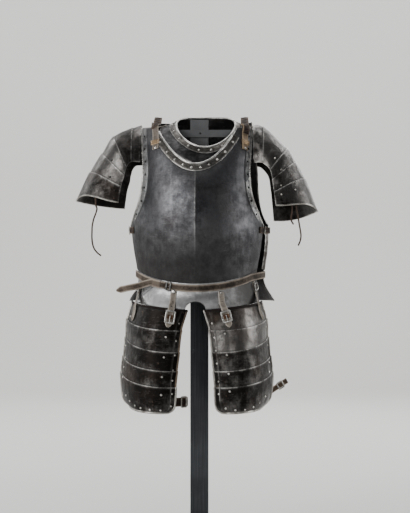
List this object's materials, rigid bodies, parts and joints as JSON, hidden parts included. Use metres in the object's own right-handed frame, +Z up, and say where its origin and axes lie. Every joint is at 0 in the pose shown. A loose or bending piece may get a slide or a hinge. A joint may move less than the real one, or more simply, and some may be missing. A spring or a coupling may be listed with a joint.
{
  "type": "half armour (cuirass) on a display stand",
  "caption": "Steel cuirass with gorget, laminated shoulder and thigh defences and leather straps, hung on a plain post stand.",
  "frame": {"origin": "centre of the stand base's underside, on the post's middle line", "axes": "+Z up; the breastplate faces -Y; +X to the right as seen from the front"},
  "size_m": [0.677, 0.4228, 1.187],
  "materials": {
    "dark_steel": "dark patinated, softly polished",
    "bright_steel": "bright, worn",
    "iron": "worn",
    "brass": "tarnished",
    "tan_leather": "worn",
    "brown_leather": "worn",
    "paint": "matt paint"
  },
  "bodies": {
    "root": {"stand_base": "paint", "stand_post": "paint", "stand_crossbar": "paint", "breastplate": "dark_steel", "backplate": "dark_steel", "fauld": "bright_steel", "back_skirt": "dark_steel", "gorget_front": "dark_steel", "gorget_back": "dark_steel", "pauldron_lame_1_left": "dark_steel", "pauldron_lame_2_left": "dark_steel", "pauldron_lame_3_left": "dark_steel", "pauldron_lame_4_left": "dark_steel", "pauldron_lame_5_left": "dark_steel", "tasset_lame_1_left": "dark_steel", "tasset_lame_2_left": "dark_steel", "tasset_lame_3_left": "dark_steel", "tasset_lame_4_left": "dark_steel", "tasset_lame_5_left": "dark_steel", "pauldron_lame_1_right": "dark_steel", "pauldron_lame_2_right": "dark_steel", "pauldron_lame_3_right": "dark_steel", "pauldron_lame_4_right": "dark_steel", "pauldron_lame_5_right": "dark_steel", "tasset_lame_1_right": "dark_steel", "tasset_lame_2_right": "dark_steel", "tasset_lame_3_right": "dark_steel", "tasset_lame_4_right": "dark_steel", "tasset_lame_5_right": "dark_steel", "shoulder_strap_left": "tan_leather", "strap_plate_left": "brass", "shoulder_strap_right": "tan_leather", "strap_plate_right": "brass", "waist_belt": "brown_leather", "belt_tail": "brown_leather", "belt_keeper": "brown_leather", "belt_buckle": "iron", "tasset_strap_outer_left": "tan_leather", "tasset_buckle_outer_left": "iron", "tasset_strap_inner_left": "tan_leather", "tasset_buckle_inner_left": "iron", "tasset_strap_inner_right": "tan_leather", "tasset_buckle_inner_right": "iron", "tasset_strap_outer_right": "tan_leather", "tasset_buckle_outer_right": "iron", "side_strap_left": "brown_leather", "pauldron_hanger_left": "tan_leather", "thigh_strap_left": "tan_leather", "thigh_buckle_left": "iron", "side_strap_right": "brown_leather", "pauldron_hanger_right": "tan_leather", "thigh_strap_right": "tan_leather", "thigh_buckle_right": "iron", "lace_left": "brown_leather", "lace_right": "brown_leather", "lace_right_short": "brown_leather"}
  },
  "joints": []
}
